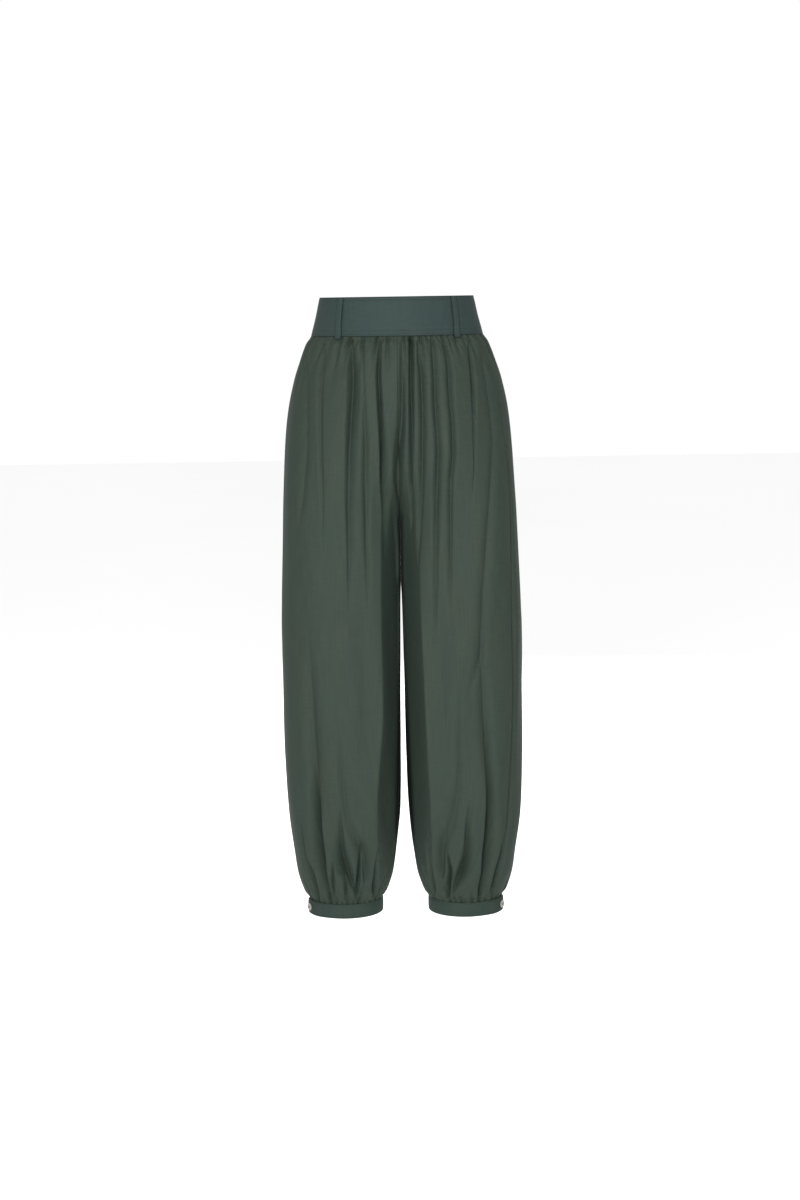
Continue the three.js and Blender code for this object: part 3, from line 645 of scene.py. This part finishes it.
# How far a belt loop's underside stands off the cloth beneath, down its length
LOOP_LIFT = table("z lift", (
    (29.4, 0.5), (23, 0.6), (12, 2.1), (-10, 2.5), (-22, 1.3), (-28, 1.0), (-33.6, 2.2)))
LOOP_TOP, LOOP_FOOT, LOOP_HALF, LOOP_THICK = 29.4, -33.6, 5.8, 1.3
# Its edge stitches' distance from its middle, the heights of the bars that hold it, and how its
# section is cut: from the middle of the underside round, in steps of measure on the cloth
LOOP_STITCH, LOOP_BARS = 3.9, (26, -27.5)
LOOP_POINTS, LOOP_STEP = 40, 0.7


def loop_section():
    """A flat oval section with straight sides, as places across and heights off the cloth."""
    angle = np.linspace(0, 2 * np.pi, LOOP_POINTS, endpoint=False) - np.pi / 2
    across = LOOP_HALF * signed_power(np.cos(angle), 0.6)
    up = LOOP_THICK / 2 * (1 + signed_power(np.sin(angle), 0.8))
    return across, up


def belt_loop(name, face, top, foot, material):
    """A belt loop: its oval section carried down the belt line, thicker at its folded foot,
    with a groove along both edges and across both bars on its outer face."""
    z = np.linspace(LOOP_TOP, LOOP_FOOT, 70)
    across, up = (part[:, None] for part in loop_section())
    lift = follow(LOOP_LIFT, "lift", z)[None, :]
    hem = 0.5 * ease(-z, -LOOP_FOOT - 7.5, -LOOP_FOOT - 6)[None, :]
    dip = 0.25 * sum(np.exp(-((z - bar) / 0.7) ** 2) for bar in LOOP_BARS)
    rim = 0.3 * np.exp(-((np.abs(across) - LOOP_STITCH) / 0.7) ** 2)
    lifted = up + lift + (up > LOOP_THICK / 2) * (hem - dip[None, :] - rim)
    wide = across * (1 + 0.02 * np.sin(z[None, :] / 7))
    points = loop_points(face, top, foot, wide, lifted, z)
    around = np.arange(LOOP_POINTS)[:, None] * LOOP_STEP
    return strip_piece(name, points, around, -z, material)


# The cuff's oval, its mean radius and the one beside the button, and its overlap in degrees round
# from the outer side. The free end lies over the start by the solid's wall and the gap between
# two sewn pieces
CUFF = {"centre": 98.3, "half": 60.7, "depth": 50.6}
CUFF_RADIUS, CUFF_BOW = 55.0, 60.0
OVERLAP_START, OVERLAP_END, OVERLAP_RAMP = -34.0, -10.0, 34.0
SOLID_CUFF_WALL, SEAM_GAP = 2.2, 0.3
OVERLAP_LIFT = SOLID_CUFF_WALL + SEAM_GAP


def cuff_lift(degrees):
    """How far the cuff's free end lies over its start: a soft ramp up to it."""
    meeting = 360 + OVERLAP_START
    return OVERLAP_LIFT * ease(degrees, meeting - OVERLAP_RAMP, meeting)


def cuff_points(side, degrees, offset, z):
    """Points of a cuff: offset is the distance out of the strip's face, z the height."""
    angle = np.radians(degrees)[None, :]
    lift = cuff_lift(degrees)[None, :] + offset
    x = CUFF["centre"] + (CUFF["half"] + lift) * np.cos(angle)
    y = (CUFF["depth"] + lift) * np.sin(angle)
    return np.stack((side * x, y, np.broadcast_to(z, x.shape)), -1)


def cuff(name, side, seed, material):
    """A cuff: its cross-section carried round the oval, with faint puckers by its top edge."""
    degrees = np.linspace(OVERLAP_START, 360 + OVERLAP_END, 300)
    offset, z = strip_profile(CUFF_TOP, CUFF_FOOT, CUFF_THICK, CUFF_STITCHES, CUFF_PROFILE_STEP)
    s = np.radians(degrees)[None, :] * CUFF_RADIUS
    pucker = 0.1 * np.sin(2 * np.pi * s / 9.3) * np.sin(2 * np.pi * s / 41 + seed)
    edge = ease(z[:, None], CUFF_FOOT + 10, CUFF_TOP)
    points = cuff_points(side, degrees, offset[:, None] + pucker * edge, z[:, None])
    around = np.arange(len(z))[:, None] * CUFF_PROFILE_STEP
    return strip_piece(name, points, s, around, material)


# The button's sizes, how far it sits off the cuff, and its holes' distance from both middle lines
BUTTON_RADIUS, BUTTON_THICK, BUTTON_LIFT = 6.3, 2.5, 0.45
HOLE_RADIUS, HOLE_SPACING, HOLE_DEPTH = 0.85, 1.65, 1.3


def seat(side):
    """The middle of a cuff's overlap, with its outward direction, the one along the cuff, and
    straight up."""
    angle = math.radians((OVERLAP_START + OVERLAP_END) / 2)
    half, depth = CUFF["half"] + OVERLAP_LIFT, CUFF["depth"] + OVERLAP_LIFT
    place = Vector((side * (CUFF["centre"] + half * math.cos(angle)), depth * math.sin(angle),
                    (CUFF_TOP + CUFF_FOOT) / 2))
    out = Vector((side * math.cos(angle) / CUFF["half"], math.sin(angle) / CUFF["depth"], 0))
    out.normalize()
    up = Vector((0, 0, 1))
    return place, out, up.cross(out), up


def on_seat(side, across, up, out):
    """Points from their places on the overlap: along the cuff, up it and out of it."""
    place, out_way, along, up_way = (np.array(v) for v in seat(side))
    parts = (across[..., None] * along, up[..., None] * up_way, out[..., None] * out_way)
    return place + sum(parts)


def button(name, side, material):
    """A turned disc with a raised rim and a sunk middle with four sewing holes."""
    turned = table("r h", (
        (0, 1.7), (3.6, 1.7), (4.3, 1.95), (5.0, 2.45), (5.5, BUTTON_THICK), (6.0, 2.35),
        (BUTTON_RADIUS, 1.9)))
    dish = np.concatenate((np.linspace(0, 4.2, 34), np.linspace(4.35, 5.3, 9)))
    face = np.concatenate((dish, np.linspace(5.4, BUTTON_RADIUS, 9)))
    radius = np.concatenate((face, np.full(5, BUTTON_RADIUS), np.linspace(6.1, 0, 6)))
    height = np.concatenate((
        np.interp(face, turned["r"], turned["h"]), np.linspace(1.9, 0.7, 5), np.full(6, 0.2)))
    angle = np.linspace(0, 2 * np.pi, 97)
    across = radius[:, None] * np.cos(angle)
    up = radius[:, None] * np.sin(angle)
    from_hole = np.hypot(np.abs(across) - HOLE_SPACING, np.abs(up) - HOLE_SPACING)
    front = (np.arange(len(radius)) < len(dish))[:, None]
    sunk = HOLE_DEPTH * (1 - ease(from_hole, HOLE_RADIUS - 0.2, HOLE_RADIUS + 0.15))
    points = on_seat(side, across, up, BUTTON_LIFT + height[:, None] - front * sunk)
    faces = grid_faces(*points.shape[:2])
    flat = points.reshape(-1, 3)
    piece = make_piece(name + "_disc", flat, outward(flat, faces))
    return dress(piece, material, "button", name)


# A stitch's thickness, its length and the gap to the next, and the rings and sides of its mesh
THREAD, STITCH, STITCH_GAP = 0.2, 2.3, 0.8
RINGS, SIDES = 7, 6


def thread_run(path, out, length, gap, radius=THREAD):
    """Points and faces of stitches along a path of points with outward directions: each stitch
    is a short capsule that rises out of the cloth and sinks back into it."""
    steps = np.linalg.norm(np.diff(path, axis=0), axis=1)
    run = np.concatenate(([0], np.cumsum(steps)))
    count = max(int(run[-1] / (length + gap)), 1)
    starts = np.arange(count) * run[-1] / count
    rings = np.linspace(0, 1, RINGS)
    at = starts[:, None] + rings[None, :] * length
    centre = np.stack([np.interp(at, run, path[:, i]) for i in range(3)], -1)
    up = np.stack([np.interp(at, run, out[:, i]) for i in range(3)], -1)
    along = np.gradient(centre, axis=1)
    along /= np.linalg.norm(along, axis=-1, keepdims=True)
    across = np.cross(along, up)
    across /= np.linalg.norm(across, axis=-1, keepdims=True)
    rise = (np.sin(np.pi * rings) ** 0.5 - 0.75)[None, :, None] * radius * 1.3
    thick = (np.clip(1 - (2 * rings - 1) ** 4, 0.02, 1) ** 0.5 * radius)[None, :, None, None]
    turn = np.linspace(0, 2 * np.pi, SIDES, endpoint=False)[None, None, :, None]
    ring = centre + rise * up
    points = ring[:, :, None, :] + thick * (
        np.cos(turn) * across[:, :, None, :] + np.sin(turn) * up[:, :, None, :])
    here, j = np.arange(RINGS - 1)[:, None] * SIDES, np.arange(SIDES)[None, :]
    there, after = here + SIDES, (j + 1) % SIDES
    one = np.stack((here + j, here + after, there + after, there + j), -1).reshape(-1, 4)
    faces = one[None] + RINGS * SIDES * np.arange(count)[:, None, None]
    return points.reshape(-1, 3), faces.reshape(-1, 4)


def thread_piece(name, runs, material):
    """One piece from several runs of stitches."""
    points = np.concatenate([run for run, _ in runs])
    used = np.cumsum([0] + [len(run) for run, _ in runs])
    faces = np.concatenate([faces + start for (_, faces), start in zip(runs, used)])
    return dress(make_piece(name, points, outward(points, faces)), material, "band_cloth")


def line_on(points, inner):
    """A path and its outward directions, from points on a surface and points beneath them."""
    out = points - inner
    return points, out / np.linalg.norm(out, axis=-1, keepdims=True)


def band_stitches(face, height, ruche, seed):
    """A line of stitches along the band, which follows its relief."""
    share = np.linspace(-0.995, 0.995, 900)
    z = np.array((height,))
    offset = 0.25 + band_relief(face, share, z, ruche, seed)
    upper, _ = band_points(face, share, offset, z)
    lower, _ = band_points(face, share, offset - 1, z)
    return thread_run(*line_on(upper[0], lower[0]), STITCH, STITCH_GAP)


def loop_stitches(face, top, foot):
    """A line of stitches down both edges of a belt loop."""
    z = np.linspace(LOOP_TOP - 1, LOOP_FOOT + 1, 200)
    lift = follow(LOOP_LIFT, "lift", z)[None, :] + LOOP_THICK
    runs = []
    for across in (-LOOP_STITCH, LOOP_STITCH):
        place = np.full((1, len(z)), across)
        upper, lower = (loop_points(face, top, foot, place, lift - sunk, z)[0]
                        for sunk in (0.1, 1.1))
        runs.append(thread_run(*line_on(upper, lower), STITCH - 0.1, STITCH_GAP))
    return runs


def cuff_stitches(side, height):
    """A line of stitches round a cuff, from just past its free end to just before it."""
    degrees = np.linspace(OVERLAP_END + 2, 360 + OVERLAP_END - 2, 1200)
    upper, lower = (cuff_points(side, degrees, np.array(((lift,),)), np.array(((height,),)))[0]
                    for lift in (0.2, -0.8))
    return thread_run(*line_on(upper, lower), STITCH, STITCH_GAP)


def button_thread(side):
    """Two bars of thread through the button's holes, and the buttonhole's stitched rim."""
    runs, out_way = [], np.array(seat(side)[1])
    for across in (-HOLE_SPACING, HOLE_SPACING):
        for shift in (-0.25, 0.25):
            t = np.linspace(-1, 1, 30)
            up = t * (HOLE_SPACING + 0.3)
            out = BUTTON_LIFT + 2.0 - 1.1 * np.abs(t) ** 6
            path = on_seat(side, np.full_like(t, across + shift), up, out)
            runs.append(thread_run(path, out_way + 0 * path, 4.2, 0.1, 0.26))
    t = np.linspace(0, 2 * np.pi, 200)
    across = 7.6 * signed_power(np.cos(t), 0.6)
    up = 1.2 * signed_power(np.sin(t), 0.8)
    bow = -across ** 2 / (2 * CUFF_BOW)
    path = on_seat(side, across, up, 0.25 + bow)
    runs.append(thread_run(path, out_way + 0 * path, 1.0, 0.05, 0.3))
    return runs


def leg_panel(name, side, face, seed, material):
    """A leg panel's grid, turned so that its faces point out, with the cloth's thickness."""
    points, measure = leg_panel_grid(side, face, seed)
    faces = grid_faces(*points.shape[:2])
    if side * face > 0:
        faces = faces[:, ::-1]
    piece = make_piece(name + "_cloth", points.reshape(-1, 3), faces, measure.reshape(-1, 2))
    shell = piece.modifiers.new("cloth thickness", "SOLIDIFY")
    shell.thickness = CLOTH_THICK * MM
    shell.offset = -1
    return dress(piece, material, "leg_cloth", name)


# Finishes

class Field:
    """A number or colour that varies over a surface; arithmetic on it adds Math nodes."""

    def __init__(self, finish, socket):
        self.finish, self.socket = finish, socket

    def _math(self, operation, first, second):
        return self.finish.node("ShaderNodeMath", {"operation": operation}, (first, second))

    def __add__(self, other):
        return self._math("ADD", self, other)

    def __sub__(self, other):
        return self._math("SUBTRACT", self, other)

    def __rsub__(self, other):
        return self._math("SUBTRACT", other, self)

    def __mul__(self, other):
        return self._math("MULTIPLY", self, other)

    def __abs__(self):
        return self.finish.node("ShaderNodeMath", {"operation": "ABSOLUTE"}, (self,))

    __radd__ = __add__
    __rmul__ = __mul__


class Finish:
    """A procedural material: constants sit on the shader's own sockets, and fields feed it."""

    def __init__(self, name, **constants):
        self.material = bpy.data.materials.new(name)
        self.material.use_nodes = True
        self.nodes = self.material.node_tree.nodes
        self.links = self.material.node_tree.links
        self.shader = next(n for n in self.nodes if n.type == "BSDF_PRINCIPLED")
        for socket, value in constants.items():
            self.shader.inputs[socket.replace("_", " ")].default_value = value

    def node(self, kind, settings=None, inputs=(), output=0):
        """Any other node: its settings first, then the values or links of its sockets."""
        made = self.nodes.new(kind)
        for key, value in (settings or {}).items():
            setattr(made, key, value)
        pairs = inputs.items() if isinstance(inputs, dict) else enumerate(inputs)
        for key, value in pairs:
            if isinstance(value, Field):
                self.links.new(value.socket, made.inputs[key])
            else:
                made.inputs[key].default_value = value
        return Field(self, made.outputs[output])

    def feed(self, socket, field):
        self.links.new(field.socket, self.shader.inputs[socket])

    def place(self, kind="Object"):
        return self.node("ShaderNodeTexCoord", output=kind)

    def part(self, where, axis):
        return self.node("ShaderNodeSeparateXYZ", {}, (where,), axis)

    def ramp(self, value, low, high, first, last):
        """first where value is below low, last above high, and a soft S between them."""
        inputs = {"Value": value, "From Min": low, "From Max": high, "To Min": first,
                  "To Max": last}
        return self.node("ShaderNodeMapRange", {"interpolation_type": "SMOOTHSTEP"}, inputs)

    def noise(self, where, scale, detail=2.0, rough=0.5):
        inputs = {"Vector": where, "Scale": scale, "Detail": detail, "Roughness": rough}
        return self.node("ShaderNodeTexNoise", {}, inputs)

    def stretch(self, where, by):
        return self.node("ShaderNodeVectorMath", {"operation": "MULTIPLY"}, (where, by))

    def mix(self, factor, first, second):
        """A colour between two others."""
        inputs = {"Factor": factor, 6: (*first, 1) if isinstance(first, tuple) else first,
                  7: (*second, 1) if isinstance(second, tuple) else second}
        return self.node("ShaderNodeMix", {"data_type": "RGBA"}, inputs, 2)

    def bump(self, height, distance, strength=1.0, under=None):
        inputs = {"Height": height, "Distance": distance, "Strength": strength}
        if under is not None:
            inputs["Normal"] = under
        return self.node("ShaderNodeBump", {}, inputs)


def painted_shade_between_legs(finish):
    """Painted shade between the legs: how much of the cloth's colour is kept, all of it on open
    cloth, but hardly any where the inner legs face each other, in the few millimetres beside the gap
    that opens between them below the crotch, where shade falls."""
    height = finish.part(finish.place(), 2)
    half_gap = finish.ramp(height, -0.90, -0.42, 0.012, 0.0)
    from_gap = abs(finish.part(finish.place(), 0)) - half_gap
    open_cloth = finish.ramp(from_gap, 0.0006, 0.0074, 0.03, 1.0)
    above = finish.ramp(height, (CROTCH - 29) * MM, (CROTCH + 11) * MM, 0.0, 1.0)
    return finish.node("ShaderNodeMath", {"operation": "MAXIMUM"}, (open_cloth, above))


def painted_shade_on_loop(finish):
    """Painted shade on a belt loop: how much of its colour is kept, all of it on its face, little at
    its edges and beneath, where shade falls.
    """
    cloth = finish.place("UV")
    from_face = abs(finish.part(cloth, 0) - LOOP_POINTS / 2 * LOOP_STEP * MM)
    sides = finish.ramp(from_face, 0.0034, 0.0047, 1.0, 0.25)
    foot = -LOOP_FOOT * MM
    return sides * finish.ramp(finish.part(cloth, 1), foot - 0.0016, foot - 0.0002, 1.0, 0.3)


def painted_shade_on_band_edges(finish):
    """Painted shade on the waistband: how much of its colour is kept, less on its rolled top edge and
    in its seam, where shade falls.
    """
    height = finish.part(finish.place(), 2)
    foot, top = BAND_FOOT * MM, BAND_TOP * MM
    seam = finish.ramp(height, foot + 0.0002, foot + 0.0020, 0.35, 1.0)
    return seam * finish.ramp(height, top - 0.0022, top - 0.0004, 1.0, 0.55)


def woven_cloth(name, cool, warm, shade, light=None, weave=0.00045):
    """Fluid twill: fine slanting ribs in the cloth's own measure, slubs that streak it both ways, and
    colour that drifts between a cool and a warm green in long upright bands. Where light is given,
    painted shade darkens that colour towards black."""
    finish = Finish(name, Roughness=0.7, Sheen_Weight=0.02, Sheen_Roughness=0.4,
                    Sheen_Tint=(0.62, 0.78, 0.74, 1), Specular_IOR_Level=0.08)
    cloth = finish.place("UV")
    slant = (finish.part(cloth, 0) + finish.part(cloth, 1) * 0.8) * (2 * math.pi / weave)
    rib = finish.node("ShaderNodeMath", {"operation": "SINE"}, (slant,)) * 0.5 + 0.5
    warp = finish.noise(finish.stretch(cloth, (1.0, 0.05, 1.0)), 380, 3.0)
    weft = finish.noise(finish.stretch(cloth, (0.06, 1.0, 1.0)), 800, 3.0)
    drift = finish.noise(finish.stretch(finish.place(), (1.0, 1.0, 0.16)), 38, 2.0)
    tint = finish.mix(drift * 3.0 - 1.0, cool, warm)
    slub = warp * 0.7 + weft * 0.7 - 0.4
    colour = finish.mix(slub, shade, tint)
    # Painted shade: the colour is mixed towards black where light(finish) falls below 1
    if light:
        colour = finish.mix(light(finish), (0.0, 0.0, 0.0), colour)
    finish.feed("Base Color", colour)
    finish.feed("Roughness", 0.62 + slub * 0.16)
    surface = rib * 0.3 + warp * 0.5 + weft * 0.5
    finish.feed("Normal", finish.bump(surface, 0.00014, 0.5))
    return finish.material


# Leg, band and loop cloth carry painted shade: between the legs, on the band's top edge and seam, and
# at the loops' edges and foot
leg_cloth = woven_cloth("leg cloth", (0.0205, 0.0342, 0.0275), (0.0265, 0.0350, 0.0235),
                        (0.0130, 0.0188, 0.0148), painted_shade_between_legs)
BAND_COLOURS = ((0.0195, 0.0355, 0.0345), (0.0235, 0.0370, 0.0305), (0.0125, 0.0200, 0.0190))
band_cloth = woven_cloth("band cloth", *BAND_COLOURS, painted_shade_on_band_edges)
loop_cloth = woven_cloth("belt loop cloth", *BAND_COLOURS, painted_shade_on_loop)
# The cuff cloth's hue lies between the leg's and the band's, its own tone; it is darker than the leg
# cloth as painted shade
cuff_cloth_with_painted_shade = woven_cloth("cuff cloth", (0.0175, 0.0315, 0.0285), (0.0215, 0.0320, 0.0235),
                         (0.0115, 0.0180, 0.0150))


def smooth_finish(name, low, high, scale, **constants):
    """A smooth finish whose colour drifts between two tones."""
    finish = Finish(name, **constants)
    tone = finish.noise(finish.place(), scale, 3.0)
    finish.feed("Base Color", finish.mix(tone, low, high))
    return finish.material


thread = smooth_finish("thread", (0.010, 0.016, 0.0145), (0.016, 0.025, 0.022), 900,
                       Roughness=0.6)
horn = smooth_finish("button", (0.13, 0.125, 0.11), (0.21, 0.20, 0.175), 180, Roughness=0.28)

# Name, side, face and seed of each leg panel; name, face and place at top and foot of each loop
PANELS = (
    ("front_left", LEFT, FRONT, 11),
    ("front_right", RIGHT, FRONT, 23),
    ("back_left", LEFT, BACK, 37),
    ("back_right", RIGHT, BACK, 41),
)
LOOPS = (
    ("belt_loop_front_left", FRONT, 87, 91.5),
    ("belt_loop_front_right", FRONT, -85.5, -90),
    ("belt_loop_back_left", BACK, 72, 78),
    ("belt_loop_back_right", BACK, -72, -78),
)
# How deep the elastic's ruches are, and the seeds of the back band and the front band
RUCHE, RUCHE_SEED, CALM_SEED = 0.5, 5, 7

for name, side, face, seed in PANELS:
    panel = leg_panel(name, side, face, seed, leg_cloth)
for name, face, columns, ruche, seed in (
    ("waistband_front", FRONT, 220, 0, CALM_SEED),
    ("waistband_back", BACK, 340, RUCHE, RUCHE_SEED),
):
    band = waistband(name, face, columns, ruche, seed, band_cloth)
for name, face, top, foot in LOOPS:
    loop = belt_loop(name, face, top, foot, loop_cloth)
for side, name in ((LEFT, "left"), (RIGHT, "right")):
    strip = cuff("cuff_" + name, side, side + 2, cuff_cloth_with_painted_shade)
    button("cuff_button_" + name, side, horn)
    thread_piece("cuff_stitches_" + name, [
        cuff_stitches(side, height) for height in CUFF_STITCHES], thread)
    thread_piece("button_thread_" + name, button_thread(side), thread)
thread_piece("waistband_stitches", [
    band_stitches(face, height, ruche, seed)
    for face, ruche, seed in ((FRONT, 0, CALM_SEED), (BACK, RUCHE, RUCHE_SEED))
    for height in BAND_STITCHES], thread)
thread_piece("belt_loop_stitches", [
    run for name, face, top, foot in LOOPS for run in loop_stitches(face, top, foot)], thread)


# Camera and room

# Worked out from the garment's own level edges in the photograph, in metres and radians
CAMERA_BACK = 3.0
CAMERA_HEIGHT = BAND_TOP * MM
CAMERA_ACROSS = -0.0019
TILT_DOWN = math.radians(9.15)
ROLL = math.radians(0.9)
FOCAL_PIXELS = 1885.0
FRAME_HEIGHT_PIXELS = 1200.0
SENSOR = 36.0


def set_camera():
    """The photograph's view: level with the waistband's top, 3 m in front, looking down a little
    and turned slightly about the line of sight."""
    camera = bpy.data.cameras.new("camera")
    camera.sensor_width = SENSOR
    camera.lens = FOCAL_PIXELS / FRAME_HEIGHT_PIXELS * SENSOR
    holder = in_scene("camera", camera)
    holder.location = (CAMERA_ACROSS, -CAMERA_BACK, CAMERA_HEIGHT)
    holder.rotation_mode = "XYZ"
    turn = Matrix.Rotation(math.pi / 2 - TILT_DOWN, 3, "X") @ Matrix.Rotation(-ROLL, 3, "Z")
    holder.rotation_euler = turn.to_euler("XYZ")
    bpy.context.scene.camera = holder


def soft_light(name, place, aim, size, power):
    """A rectangular light of a width and height in metres and a power in watts."""
    light = bpy.data.lights.new(name, "AREA")
    light.shape = "RECTANGLE"
    light.size, light.size_y = size
    light.energy = power
    holder = in_scene(name, light)
    holder.location = place
    holder.rotation_euler = (Vector(aim) - Vector(place)).to_track_quat("-Z", "Y").to_euler()


# The floor's height and corners in metres; each light's place, aim, size and power
FLOOR = -1.25
FLOOR_CORNERS = ((-9, -6), (9, -6), (9, 12), (-9, 12))
LIGHTS = (
    ("key", (-0.28, -3.1, 0.2), (0, 0, -0.52), (1.4, 1.8), 178),
    ("back", (0.2, 3.2, 0.4), (0, 0, -0.5), (1.0, 1.6), 80),
)


def set_room():
    """A pale floor, two soft lights and a white backdrop."""
    corners = np.array([(*corner, FLOOR) for corner in FLOOR_CORNERS]) / MM
    floor = make_piece("floor", corners, np.array(((0, 1, 2, 3),)))
    paint = Finish("pale floor", Roughness=0.9, Specular_IOR_Level=0.1)
    tone = paint.noise(paint.place(), 0.6)
    paint.feed("Base Color", paint.mix(tone, (0.93, 0.93, 0.93), (0.96, 0.96, 0.96)))
    floor.data.materials.append(paint.material)
    for light in LIGHTS:
        soft_light(*light)
    world = bpy.data.worlds.new("studio")
    world.use_nodes = True
    backdrop = world.node_tree.nodes["Background"]
    backdrop.inputs["Color"].default_value = (1, 1, 1, 1)
    backdrop.inputs["Strength"].default_value = 1.0
    bpy.context.scene.world = world
    bpy.context.scene.view_settings.view_transform = "Standard"


set_camera()
set_room()
